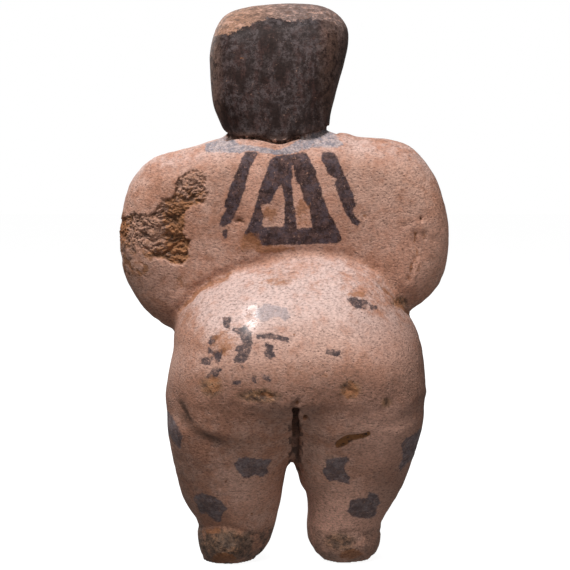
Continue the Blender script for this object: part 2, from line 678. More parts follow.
# The lost skin: its edge is a low ledge above and at the right, and runs out softly at the lower left. The
# bared clay is warped crumbs of three sizes, and it is deepest in a hollow at the lower right. In the
# frayed place below it the skin comes off in shallow bits.
lossDistance = lineDistance(armLoss["outline"])(seenX, seenZ)
lossDistance = lossDistance + wander(skinPoints, 2.6, armLoss["ragged"], 13)
lossDistance = lossDistance + wander(skinPoints, 0.9, 0.5, 24)
ledge = 0.35 + 3 * ramp(seenX, 35, 44) * ramp(-seenZ, -98, -93) + 0.8 * ramp(-seenX, -30, -25)
lost = (1 - ramp(lossDistance / ledge, -1, 0.2)) * ramp(frontY, -5, -1)
crumbWarp = np.stack([wander(skinPoints, 4, 1.3, seed) for seed in (29, 30, 31)], axis=1)
crumbPlace = skinPoints * [0.85, 1, 1.25] + crumbWarp
crumbParts = [(0.3, 3, 14), (0.34, 1.2, 15), (0.36, 0.5, 25)]  # share, size and seed
crumbs = sum(part * lumps(crumbPlace, size, seed) for part, size, seed in crumbParts)
hollow = nearSpot(armLoss["hollow"], seenX, seenZ)
lostDepth = np.maximum(0.65 + 0.8 * hollow + 2.4 * (0.5 - crumbs), 0.1)
frayed = 1 - ramp(spotReach(armLoss["frayed"], seenX, seenZ), 0.4, 1.1)
bits = ramp(lumps(crumbPlace, 1.5, 32) + 0.3 * frayed, 0.68, 0.86) * ramp(frayed, 0, 0.3)
bits = bits * ramp(frontY, -6, -3)
lostDepth = np.where(bits > lost, 0.35 * lostDepth, lostDepth)
lost = np.maximum(lost, 0.85 * bits)

gap = frontZ - breakLevel(frontX, frontY) + wander(skinPoints, 3, 0.15, 16)
gapHalf = 0.16 + 0.2 * lumps(skinPoints, 6, 17)
cracked = 1 - ramp(np.abs(gap) / gapHalf, 0.5, 1.6)

sink = lost * lostDepth + cracked * 0.9
stained = np.zeros(len(skinPoints))  # where soil lies in dents and scratches
holes = np.zeros(len(skinPoints))  # steep dents, which are dark inside
for group, x, z, side in ((strokes, wornX, wornZ, atBack), (frontStrokes, frontX, frontZ, 1 - atBack)):
    for name, stroke in group.items():
        near, depth = strokeDepth(stroke, x, z)
        sink += depth * side
        if not name.endswith(("Fold", "Edge", "Ankle")):
            stained = np.maximum(stained, near * side)
for group, x, z, side in ((dents, wornX, wornZ, atBack), (frontDents, frontX, frontZ, 1 - atBack)):
    for dent in group:
        near = (1 - ramp(spotReach(dent, x, z), 0.3, 1.1)) * side
        sink += dent["depth"] * near
        stained = np.maximum(stained, near)
        holes = np.maximum(holes, near * (dent["depth"] > 0.55 * min(dent["size"])))

# A step in under the fold, which dies out downwards and at both ends, and a soft groove along its outer
# end. The distance below the line counts.
foldX, foldHeights = np.array(seatFold[::-1]).T
underFold = lineDistance(seatFold, closed=False)(seenX, seenZ)
underFold = np.where(np.interp(seenX, foldX, foldHeights) > seenZ, underFold, -underFold)
folded = ramp(underFold, -1, 1.2) * np.exp(-((np.maximum(underFold, 0) / 4.5) ** 2))
folded = folded * ramp(seenX, 7, 20) * ramp(-seenZ, -49, -42) * atBack
grooved = np.exp(-((underFold / 1.7) ** 2)) * ramp(seenZ, 37, 42) * ramp(-seenZ, -52, -46) * atBack
sink += 0.85 * folded + 0.55 * grooved

scabbed = np.max([1 - ramp(spotReach(scab, wornX, wornZ), 0.5, 1.15) for scab in scabs], axis=0) * atBack
scabLumps = 0.5 * lumps(skinPoints, 1.4, 27) + 0.5 * lumps(skinPoints, 0.7, 28)
sink += scabbed * (0.15 + 1.3 * (0.5 - scabLumps))

# The hand left the clay uneven: broad swells, small lumps, sandy grain and scattered pits. The head was
# smoothed more, and the heels, the underside of the seat and the clay laid bare on the arm are rougher.
onHead = ramp(gap, 0, 1)
rough = 0.45 + 0.55 * ramp(lumps(skinPoints, 9, 18), 0.35, 0.7)
rough = rough + 0.8 * (1 - ramp(frontZ, 8, 12)) + 0.5 * np.exp(-(((seenZ - 48) / 4) ** 2)) * atBack
rough = rough + 0.9 * np.exp(-(((lossDistance - 1) / 3) ** 2)) * ramp(frontX, 25, 40) * atBack
rough = rough * (1 - 0.6 * onHead)
sink -= 0.55 * (lumps(skinPoints, 17, 19) - 0.6) + 0.3 * (lumps(skinPoints, 7, 20) - 0.5)
sink += 0.26 * rough * lumps(skinPoints, 1.9, 21)
pitted = np.maximum(pits(skinPoints, 4.6, 0.9, 0.3, 22), pits(skinPoints, 9, 1.3, 0.25, 26))
pitted = pitted * np.minimum(rough, 1)
sink += 0.55 * pitted
# A low rise turns the polished spot on the seat up to the light, and the cleft is ribbed across.
polished = {"at": (9.2, 71.5), "size": (2.4, 4.5)}
polishedRise = {"at": (9.2, 75.5), "size": (3, 2.5), "height": 0.3}
sink -= polishedRise["height"] * nearSpot(polishedRise, seenX, seenZ) * atBack
ribLumps = lumps(skinPoints * [1, 0.4, 1], 1.5, 23)
ribbed = (np.abs(frontX - masses["cleft"]["middle"]) < 2.6) & (seenZ > 27) & (seenZ < 47)
sink += np.where(ribbed, 0.9 * (ribLumps - 0.6), 0) * atBack
sink = np.where(frontZ < 0.5, 0, sink)

finePoints = skinPoints - skinNormals * sink[:, None]
low, high = (np.array(corner) / mm for corner in cadBox)
middle = (finePoints.min(axis=0) + finePoints.max(axis=0)) / 2
shift = (low + high) / 2 - middle
shift[2] = 0
finePoints = np.clip(finePoints + shift, low, high)
print("surface worked, moved by", np.round(shift, 3), "mm")


# How closed in each point is: how much nearer other clay is than it would be over open ground, at a few
# distances out along the normal.
def closedIn(points, normals):
    reaches = (1.2, 2.5, 5, 9)
    nearer = [np.clip(1 - field(*(points + normals * reach).T) / reach, 0, 1) for reach in reaches]
    return sum(nearer) / len(reaches)


hidden = closedIn(skinPoints, skinNormals)
print("hollows found")

# Painted areas as seen from behind, in millimetres. The outlines are by hand and uneven, as the brush left
# them.
paint = {
    "hairTop": [
        (24, 151.4), (19.5, 151.7), (15.7, 151.7), (12, 153.4), (9.2, 154.5), (7.4, 156), (3.4, 156.8),
        (-1.1, 156.3),
        (-5.4, 156), (-9.7, 156.6), (-14.3, 155.4), (-17.2, 153.7), (-22, 152.4),
    ],
    "band": [
        (22.3, 120.5), (15.7, 123), (12.3, 120.3), (6, 119.8), (2, 118.9), (-1.1, 119.8), (-4.9, 122),
        (-8.6, 123.5),
        (-13.6, 125.2), (-15.5, 122.5), (-17.7, 120.3), (-15.7, 119.6), (-8.6, 119.6), (-6.3, 118.8),
        (-2, 117.6),
        (2, 117.3), (3.7, 117.6), (9.4, 118.5), (13.5, 117.9), (22.3, 118.2),
    ],
    "tresses": [
        [
            (12, 115.6), (10.8, 118.6), (7, 118.4), (8.3, 115.6), (9.7, 112.8), (10.6, 108.8),
            (11.4, 105.8), (12.6, 103), (13.2, 101),
            (14, 99.3), (15, 97.6), (18, 96.4), (18.3, 97.6), (17.2, 100.5), (16, 101.9), (16.9, 102.7),
            (16.6, 104.2), (15.5, 107.3), (14, 111), (12.6, 114.5),
        ],
        [
            (3.4, 116.5), (2, 117.3), (-2, 117.6), (-5.7, 118.5), (-6.9, 117.6), (-8, 115.6), (-9.2, 113.3),
            (-10, 110.2), (-10.9, 108.5), (-11.4, 105.8), (-13, 101.3), (-14.9, 97.9), (-16.6, 94.4),
            (-16.9, 93),
            (-15.5, 91.9), (-4, 91.6), (6, 91.2), (8.6, 91.6), (11.2, 93.3), (11.4, 94.7), (10, 96.7),
            (8.6, 100.5), (7.7, 103.9), (6.6, 108.2), (5.4, 111), (4.3, 114.5),
        ],
        [
            (-11.2, 118.2), (-14.2, 118.5), (-15.5, 116.8), (-16.6, 114.2), (-18, 111), (-19.5, 107.6),
            (-21.2, 103), (-20, 101.9), (-20.9, 99.3), (-22.6, 98.2), (-21.2, 96.7), (-19.7, 97.9),
            (-17.7, 101),
            (-16.3, 104.7), (-14.6, 108.8), (-15.2, 110.5), (-12.6, 112.2), (-12.3, 113.6), (-10.9, 116.2),
        ],
        [(17.5, 95.9), (15.7, 95.9), (16, 93.3), (17.2, 93.3)],
    ],
    "windows": [
        [
            (0.6, 109), (-0.3, 105), (-0.4, 101), (-0.3, 96.7), (6, 96.7), (5.4, 99.9), (6.3, 103),
            (3.7, 103.3),
            (2.3, 106.3),
        ],
        [
            (-2.6, 115.6), (-3.4, 110.8), (-5.2, 107.6), (-6, 103.9), (-7.4, 102.2), (-8.3, 96.7),
            (-4, 96.4),
            (-3.7, 100.2), (-2.9, 104.5), (-2.6, 111),
        ],
    ],
    "legSpots": [
        [
            (14, 28.9), (12.6, 30.6), (10.3, 30.9), (7.4, 30.6), (3.1, 30.1), (4.6, 28), (3.7, 26.3),
            (5.7, 25.5),
            (8.2, 25.5), (10.9, 24.6), (12, 26), (13.5, 27.2),
        ],
        [
            (26, 19.5), (23.8, 20.6), (20, 19.7), (17.7, 18.3), (15.5, 16), (17.2, 14.9), (17.7, 12),
            (20, 12.7),
            (21.8, 14.6), (23.9, 14.9), (24.9, 17.5),
        ],
        [
            (-12.3, 30.3), (-15.2, 30.3), (-16.7, 30.8), (-18.9, 31.2), (-19.2, 29.8), (-17.7, 28.5),
            (-18, 26.2),
            (-19.5, 24.9), (-18.9, 23.2), (-16.9, 23.5), (-15.6, 24), (-13.3, 23.8), (-11.7, 25.2),
            (-10.9, 27.2),
            (-12.2, 28),
        ],
        [
            (-19.2, 18.6), (-24.3, 19.5), (-24.6, 20.9), (-26.9, 20.6), (-28, 18.3), (-26.9, 16),
            (-26.6, 13.7),
            (-23.8, 12.9), (-20, 13.5), (-18.3, 14.9), (-18.9, 16.9),
        ],
    ],
    "sideSpots": [
        [
            (-33.4, 36.6), (-36.9, 36.8), (-39.5, 39.2), (-43, 39), (-41, 34.5), (-37.8, 30.5), (-35.8, 29),
            (-33.4, 26.6), (-32.9, 27.4), (-34.4, 30.5), (-33.9, 34.1),
        ],
        [(35, 45.9), (32.1, 42.7), (30, 38.6), (29, 36.6), (29.5, 33), (31, 34.6), (34.5, 39)],
    ],
    "seatSpots": [
        [(17.5, 71.3), (14.7, 71), (15.2, 67.5), (16.9, 68.1)],
        [
            (14.7, 67.7), (10.9, 68.5), (9, 66.8), (8.7, 63.4), (9.7, 59.6), (10.9, 58), (14, 58),
            (14.3, 58.8),
            (12.8, 60.6), (14, 61.3), (13, 63), (11.4, 63.4), (12.3, 65.1), (13, 66.3), (14.7, 67),
        ],
        [(19.5, 66.6), (18.3, 65.3), (20.2, 62.9), (22, 63.2), (20.8, 65.3)],
        [
            (21.6, 62.5), (19.5, 61.5), (16.5, 62.6), (15.9, 61), (17.7, 60.1), (17.8, 57.9),
            (19.3, 58.1), (19.9, 60.1),
            (21.5, 60.7),
        ],
        [(23.8, 59.5), (20.3, 59.5), (20.9, 57.2), (23.5, 57.5)],
        [(19.6, 56.7), (17.4, 56.4), (18.2, 54.5), (19.9, 53.2), (22.3, 53.5), (20.8, 55.2)],
        [(14.6, 53.2), (12, 52.9), (12.3, 51.2), (14.6, 51.5)],
        [
            (7.5, 66.1), (4.2, 66.5), (0.9, 65.9), (-2, 65.2), (-1.6, 63.7), (0.6, 64.3), (4.2, 64.8),
            (7.3, 64.4),
        ],
        [(5.7, 63.3), (2.4, 63.3), (3, 61.3), (1.7, 59.6), (3.7, 58.9), (5.7, 60.3), (4.9, 61.5)],
        [(-12.1, 61.8), (-16.7, 61.5), (-16.5, 59.9), (-12.4, 60)],
        [(-17.7, 76.4), (-20.6, 76.6), (-24.3, 75.8), (-24, 73.4), (-20.8, 73.4), (-19.6, 74.6)],
        [(-24.6, 74.8), (-27.4, 74.2), (-27, 72.9), (-24.8, 73.2)],
        [(6.2, 54.8), (3.6, 54.2), (3.4, 52.2), (5.7, 52.8)],
        [(9, 54.6), (7.6, 54.4), (7.5, 51.6), (8.6, 51.4)],
        [(12, 57.1), (10.8, 57), (10.8, 55.9), (11.8, 55.8)],
    ],
    "sheenSpots": [
        [
            (8.2, 71), (7.6, 73.2), (5.2, 74.8), (1.6, 74.4), (-1.4, 73.4), (-2.2, 71.2), (-0.4, 70),
            (1.6, 71.2),
            (3.6, 70.6), (5.6, 69.5),
        ],
    ],
}


# Distance to the nearest of several outlines, less than zero inside one, and far off in front of a depth.
def paintDistance(outlines, backFrom=-3):
    nearest = np.min([lineDistance(outline)(seenX, seenZ) for outline in outlines], axis=0)
    return np.maximum(nearest, backFrom - skinPoints[:, 1])


# Height at x of a line through (x, z) pairs.
def lineHeight(pairs, x):
    keys, heights = np.array(sorted(pairs)).T
    return np.interp(x, keys, heights)


# A spot with uneven points all round: a ring of ten corners, every other one drawn in, each moved by chance.
def blot(middle, radius, seed):
    corner = np.arange(10)
    reach = radius * (0.7 + 0.3 * (corner % 2) + 0.4 * (hashed(corner, 0, 0, seed) - 0.5))
    turn = corner * math.tau / 10
    return np.stack([middle[0] + reach * np.cos(turn), middle[1] + reach * np.sin(turn)], axis=1)


# The face window has no lower edge, so the hair hangs beside the face and leaves the jaw free.
faceX = frontX - masses["faceAxis"]
faceMiddle = (masses["face"]["low"] + masses["face"]["high"]) / 2
windowReach = faceReach(frontX, np.maximum(frontZ, faceMiddle))
crownEdge = lineHeight(paint["hairTop"], seenX)
crownDistance = np.where(frontY > 0, seenZ - crownEdge, frontZ - 154 + 0.006 * faceX**2)
faceDistance = np.where(frontY < -6, (1 - windowReach) * masses["face"]["halfWidth"], -9)
hairDistance = np.maximum.reduce([crownDistance, faceDistance, -gap])
windowDistance = paintDistance(paint["windows"])
tressDistance = np.maximum(paintDistance(paint["tresses"]), -windowDistance)

# The face: almond eyes with dark rims and pupils, straight brows and a plain mouth.
eyeX = np.abs(faceX) - 5.6
eyeReach = np.hypot(eyeX / 3.4, (frontZ - 140.8) / 1.7)
onFace = (frontY < -12) & (frontZ > 126)
whiteDistance = np.where(onFace, (eyeReach - 0.8) * 2, 9)
lidDistance = np.abs(eyeReach - 1.02) * 2 - 0.5
pupilDistance = np.hypot(eyeX, frontZ - 140.8) - 1.25
browDistance = np.hypot(np.maximum(np.abs(np.abs(faceX) - 5.4) - 3.2, 0), frontZ - 145.6) - 0.7
mouthDistance = np.hypot(np.maximum(np.abs(faceX) - 3, 0), frontZ - 131.4) - 0.35
inkDistance = np.minimum.reduce([lidDistance, pupilDistance, browDistance, mouthDistance])
inkDistance = np.where(onFace, inkDistance, 9)
frontSpots = [((15, 45), 4.6), ((-19, 42), 4.8), ((25, 30), 4), ((-27, 27), 4.2), ((10, 26), 3.4)]
frontSpotDistance = np.min([
    lineDistance(blot(middle, radius, seed))(frontX, frontZ)
    for seed, (middle, radius) in enumerate(frontSpots)
], axis=0)
# The spots at both sides end round the corner, at an uneven oval seen from the side.
sideReach = (np.hypot((frontY - 11) / 11, (seenZ - 36) / 13) - 1) * 11 + wander(skinPoints, 3.5, 2.2, 33)
sideDistance = np.maximum(paintDistance(paint["sideSpots"], -9), sideReach)
legDistance = np.minimum.reduce([
    paintDistance(paint["legSpots"]), sideDistance, np.maximum(frontSpotDistance, frontY + 9),
])

soilSpots = [
    {"at": (3.5, 100.4), "size": (3.4, 3), "amount": 0.9},
    {"at": (-5.6, 101), "size": (3, 6), "amount": 0.7},
    {"at": (-19.4, 50.2), "size": (3.6, 3.4), "amount": 0.5},
    {"at": (20.5, 51.5), "size": (5, 4), "amount": 0.6},
    {"at": (-21, 77.4), "size": (4, 1.2), "amount": 0.9},
    {"at": (17, 64), "size": (6.5, 6), "amount": 0.6},
    {"at": (29, 81), "size": (5, 3), "amount": 0.4}, {"at": (-38, 86), "size": (3, 8), "amount": 0.35},
    {"at": (47.5, 97), "size": (3, 9), "amount": 0.9}, {"at": (4, 90.4), "size": (11, 1.8), "amount": 0.75},
    {"at": (9.3, 92.4), "size": (4, 4), "amount": 0.9}, {"at": (17, 1.8), "size": (5, 1.8), "amount": 1},
    {"at": (21, 9.8), "size": (4.4, 1.3), "amount": 0.9}, {"at": (-19.6, 3), "size": (4.6, 2), "amount": 1},
    {"at": (28, 75), "size": (4, 5), "amount": 0.35}, {"at": (2, 81), "size": (7, 1.6), "amount": 0.6},
    {"at": (42, 84), "size": (5, 6), "amount": 0.5}, {"at": (18.6, 82), "size": (5, 1.2), "amount": 0.6},
    {"at": (-12, 55), "size": (16, 3), "amount": 0.3}, {"at": (27, 71), "size": (2, 3), "amount": 0.5},
]
gouged = strokeDepth(strokes["scratch"], wornX, wornZ)[0] * atBack
soil = 0.75 * stained
for spot in soilSpots:
    soil = np.maximum(soil, spot["amount"] * (1 - ramp(spotReach(spot, seenX, seenZ), 0.2, 1.2)) * atBack)

# Deep in the cleft it is black but for its ribs.
backLevel = profile(masses["seat"]["back"])(frontZ)
inCleft = (np.abs(frontX - masses["cleft"]["middle"]) < 2.2) & (frontZ > 25) & (frontZ < 50) & (frontY > 8)
inCleft = inCleft * ramp(backLevel - frontY, 0.5, 2) * (0.55 + 0.45 * ramp(-ribLumps, -0.6, -0.4))

# Rubbed clay shines: the upper seat most, and most of all one spot on it. Ground-in dust pales what faces up.
burnish = 0.2 + 0.5 * nearSpot({"at": (4, 73), "size": (26, 11)}, seenX, seenZ) * atBack
burnish = np.maximum(burnish, 0.3 * onHead)
polish = nearSpot(polished, seenX, seenZ) * atBack
paled = ramp(skinNormals[:, 2], 0.1, 0.8) * (1 - lost) * (1 - onHead) * (1 - 0.35 * ramp(frontZ, 104, 112))
# Places where the slip has kept its own light red, seen from behind.
freshSpots = [
    {"at": (-15, 14), "size": (13, 10), "amount": 1}, {"at": (-27, 36), "size": (9, 9), "amount": 0.7},
    {"at": (9, 20), "size": (9, 7), "amount": 0.45}, {"at": (-39, 84), "size": (6, 6), "amount": 0.6},
    {"at": (-6, 103), "size": (8, 10), "amount": 0.5}, {"at": (-34, 94), "size": (9, 7), "amount": 0.35},
    {"at": (9, 109), "size": (4, 7), "amount": 0.5}, {"at": (-46, 93), "size": (6, 11), "amount": 0.5},
    {"at": (-31, 62), "size": (8, 8), "amount": 0.25}, {"at": (31, 63), "size": (5, 8), "amount": 0.25},
]
fresh = np.max([spot["amount"] * nearSpot(spot, seenX, seenZ) for spot in freshSpots], axis=0) * atBack

# The sides of the seat and the underside of its bulge are browner than the rest, and so are the left elbow
# and the small of the back.
browned = np.maximum(0.6 * ramp(seenX, 17, 33), ramp(-seenX, 14, 34)) * ramp(-seenZ, -80, -62)
browned = np.maximum(browned, (1 + 0.2 * ramp(-seenX, 0, 20)) * np.exp(-(((seenZ - 49) / 9) ** 2)))
elbow, smallOfBack = {"at": (36, 82), "size": (11, 6)}, {"at": (-3, 89.5), "size": (22, 3)}
browned = np.maximum(browned, 0.6 * (1 - ramp(spotReach(elbow, seenX, seenZ), 0.3, 1)))
browned = np.maximum(browned, 0.3 * nearSpot(smallOfBack, seenX, seenZ)) * atBack

# The hair paint has worn brown along both edges and its lower rim.
hairWear = ramp(seenX, 16.5, 20) * ramp(seenZ, 118, 124)
hairWear = np.maximum(hairWear, (1 - ramp(gap, 0.6, 2.4)) * (0.3 + 0.7 * ramp(seenX, 4, 10)))
hairWear = np.maximum(hairWear, 0.5 * ramp(-seenX, 9, 13) * ramp(gap, 2, 6))

marks = {
    "hairDistance": hairDistance,
    "hairWear": hairWear * atBack,
    "bandDistance": np.maximum(paintDistance([paint["band"]]), gap),
    "tressDistance": tressDistance,
    "legDistance": legDistance,
    "seatDistance": paintDistance(paint["seatSpots"]),
    "sheenDistance": paintDistance(paint["sheenSpots"]),
    "whiteDistance": whiteDistance,
    "inkDistance": inkDistance,
    "lost": lost,
    "crumbs": ramp(crumbs, 0.3, 0.68),
    "ochre": np.maximum.reduce([
        ramp(-seenX, -37, -30) * ramp(-seenZ, -109, -100),
        ramp(seenX, 43, 48),
        0.9 * ramp(-seenZ, -91, -87.5),
    ]),
    "pitted": np.maximum(pitted, scabbed * ramp(-scabLumps, -0.52, -0.4)) * (1 - lost),
    "scabbed": scabbed,
    "gouged": gouged,
    "soil": soil,
    "burnish": burnish,
    "polish": polish,
    "paled": paled,
    "fresh": fresh,
    "browned": browned,
    "hidden": np.maximum.reduce([
        0.75 * hidden, cracked, 0.9 * inCleft, 0.85 * holes, 0.94 * folded, 0.9 * grooved,
    ]),
    "crown": ramp(crownDistance, -3, -1) * onHead,
    "crownWarm": ramp(seenX, -4, 14),
    "heel": (1 - ramp(frontZ, 9, 11.5)) * (0.5 + 0.5 * ramp(frontX, -5, 5)),
}

mesh = bpy.data.meshes.new("clayWoman")
mesh.from_pydata([], [], [])
mesh.vertices.add(len(finePoints))
mesh.vertices.foreach_set("co", (finePoints * mm).astype(np.float32).ravel())
mesh.loops.add(skinFaces.size)
mesh.loops.foreach_set("vertex_index", skinFaces.astype(np.int32).ravel())
mesh.polygons.add(len(skinFaces))
mesh.polygons.foreach_set("loop_start", np.arange(0, skinFaces.size, 3, dtype=np.int32))
mesh.update(calc_edges=True)
mesh.shade_smooth()
for name, values in marks.items():
    attribute = mesh.attributes.new(name, "FLOAT", "POINT")
    attribute.data.foreach_set("value", values.astype(np.float32))
clayWoman = bpy.data.objects.new("clay_woman", mesh)
bpy.context.scene.collection.objects.link(clayWoman)
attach(clayWoman, "root")
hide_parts("clay_figurine")
print("figurine made")


# Puts a shader node in a tree: values and links by the input's name or number.
def addNode(tree, kind, inputs=None, **settings):
    made = tree.nodes.new("ShaderNode" + kind)
    for name, value in settings.items():
        setattr(made, name, value)
    for name, value in (inputs or {}).items():
        if isinstance(value, bpy.types.NodeSocket):
            tree.links.new(value, made.inputs[name])
        else:
            made.inputs[name].default_value = value
    return made


def calculate(tree, operation, *values):
    return addNode(tree, "Math", dict(enumerate(values)), operation=operation).outputs[0]


def laidOver(tree, mask, under, over):
    return addNode(tree, "Mix", {0: mask, 6: under, 7: over}, data_type="RGBA").outputs[2]


def between(tree, mask, under, over):
    return addNode(tree, "Mix", {0: mask, 2: under, 3: over}).outputs[0]


def eased(tree, value, low, high):
    inputs = {"Value": value, "From Min": low, "From Max": high}
    return addNode(tree, "MapRange", inputs, interpolation_type="SMOOTHSTEP").outputs[0]


def noiseOf(tree, place, size, detail=2.0, roughness=0.5):
    inputs = {"Vector": place, "Scale": 1 / (size * mm), "Detail": detail, "Roughness": roughness}
    return addNode(tree, "TexNoise", inputs).outputs[0]


def calculatePlace(tree, place, scale):
    return addNode(tree, "VectorMath", {0: place, 1: scale}, operation="MULTIPLY").outputs[0]


def newGroup(name, inputs, outputs):
    group = bpy.data.node_groups.new(name, "ShaderNodeTree")
    for label, kind in inputs.items():
        group.interface.new_socket(label, in_out="INPUT", socket_type="NodeSocket" + kind)
    for label, kind in outputs.items():
        group.interface.new_socket(label, in_out="OUTPUT", socket_type="NodeSocket" + kind)
    return group, group.nodes.new("NodeGroupInput").outputs, group.nodes.new("NodeGroupOutput").inputs


# Paint that keeps inside a drawn edge: distance to the edge, roughened by noise, and worn thin in specks.
def makePaintEdge():
    group, given, out = newGroup(
        "paintEdge",
        {"Place": "Vector", "Distance": "Float", "Ragged": "Float", "Worn": "Float"},
        {"Mask": "Float"},
    )
    noise = noiseOf(group, given["Place"], 1.4, 5.0, 0.7)
    strayed = calculate(group, "SUBTRACT", noise, 0.5)
    moved = calculate(group, "MULTIPLY_ADD", strayed, given["Ragged"], given["Distance"])
    inside = eased(group, moved, 0.2, -0.3)
    specks = noiseOf(group, given["Place"], 1.1, 6.0, 0.8)
    limit = calculate(group, "SUBTRACT", 0.74, calculate(group, "MULTIPLY", given["Worn"], 0.34))
    kept = eased(group, calculate(group, "SUBTRACT", specks, limit), 0.07, -0.07)
    group.links.new(calculate(group, "MULTIPLY", inside, kept), out["Mask"])
    return group


# Sandy clay: broad tone, pores and dark grains, how light each grain is, and the height of its fine surface.
def makeSandyClay():
    group, given, out = newGroup(
        "sandyClay", {"Place": "Vector", "Coarse": "Float"},
        {"Tone": "Float", "Dark": "Float", "Grain": "Float", "Height": "Float"},
    )
    place = given["Place"]
    broad = noiseOf(group, place, 16, 3.0, 0.55)
    middle = noiseOf(group, place, 3.0, 4.0, 0.65)
    tone = calculate(group, "MULTIPLY_ADD", middle, 0.5, calculate(group, "MULTIPLY", broad, 0.5))
    group.links.new(tone, out["Tone"])
    fine = noiseOf(group, calculatePlace(group, place, (0.75, 0.75, 1.4)), 0.62, 3.0, 0.7)
    pores = addNode(group, "TexVoronoi", {"Vector": place, "Scale": 1 / (1.1 * mm)}).outputs["Distance"]
    pores = calculate(group, "MULTIPLY", eased(group, pores, 0.3, 0.1), eased(group, middle, 0.46, 0.62))
    grains = eased(group, fine, 0.44, 0.28)
    dark = calculate(group, "MAXIMUM", calculate(group, "MULTIPLY", pores, 0.7), grains)
    group.links.new(dark, out["Dark"])
    group.links.new(eased(group, fine, 0.34, 0.66), out["Grain"])
    coarse = noiseOf(group, place, 1.1, 3.0, 0.7)
    height = calculate(group, "MULTIPLY", fine, 0.7)
    height = calculate(group, "MULTIPLY_ADD", coarse, given["Coarse"], height)
    height = calculate(group, "SUBTRACT", height, calculate(group, "MULTIPLY", pores, 0.6))
    group.links.new(height, out["Height"])
    return group


# Soil that lies in patches: more where the amount is larger, broken up by noise.
def makeSoilPatch():
    group, given, out = newGroup("soilPatch", {"Place": "Vector", "Amount": "Float"}, {"Mask": "Float"})
    noise = noiseOf(group, given["Place"], 2.2, 5.0, 0.7)
    raised = calculate(group, "ADD", noise, calculate(group, "MULTIPLY", given["Amount"], 0.55))
    group.links.new(eased(group, raised, 0.66, 0.9), out["Mask"])
    return group


paintEdge, sandyClay, soilPatch = makePaintEdge(), makeSandyClay(), makeSoilPatch()
clayColours = {
    "slipLight": (0.48, 0.275, 0.205, 1),
    "slipWarm": (0.37, 0.172, 0.108, 1),
    "fresh": (0.72, 0.40, 0.30, 1),
    "paled": (0.52, 0.39, 0.36, 1),
    "browned": (0.17, 0.078, 0.050, 1),
    "grainDark": (0.085, 0.042, 0.028, 1),
    "hair": (0.008, 0.0044, 0.0046, 1),
    "hairRed": (0.040, 0.019, 0.017, 1),
    "hairGrey": (0.080, 0.064, 0.065, 1),
    "hairBrown": (0.21, 0.122, 0.090, 1),
    "crownGrey": (0.13, 0.092, 0.084, 1),
    "crownWarm": (0.25, 0.125, 0.072, 1),
    "tress": (0.018, 0.011, 0.013, 1),
    "tressThin": (0.105, 0.058, 0.052, 1),
    "tressHaze": (0.076, 0.060, 0.074, 1),
    "spot": (0.100, 0.072, 0.073, 1),
    "seatSpot": (0.046, 0.034, 0.038, 1),
    "spotThin": (0.20, 0.125, 0.105, 1),
    "spotHaze": (0.21, 0.168, 0.172, 1),
    "band": (0.17, 0.165, 0.19, 1),
    "bandThin": (0.39, 0.32, 0.31, 1),
    "white": (0.55, 0.46, 0.36, 1),
    "bareLow": (0.045, 0.021, 0.012, 1),
    "bareGrey": (0.36, 0.195, 0.135, 1),
    "bareOchre": (0.25, 0.10, 0.033, 1),
    "soil": (0.27, 0.108, 0.045, 1),
    "deep": (0.030, 0.014, 0.008, 1),
    "scab": (0.27, 0.135, 0.055, 1),
    "heel": (0.105, 0.066, 0.046, 1),
}


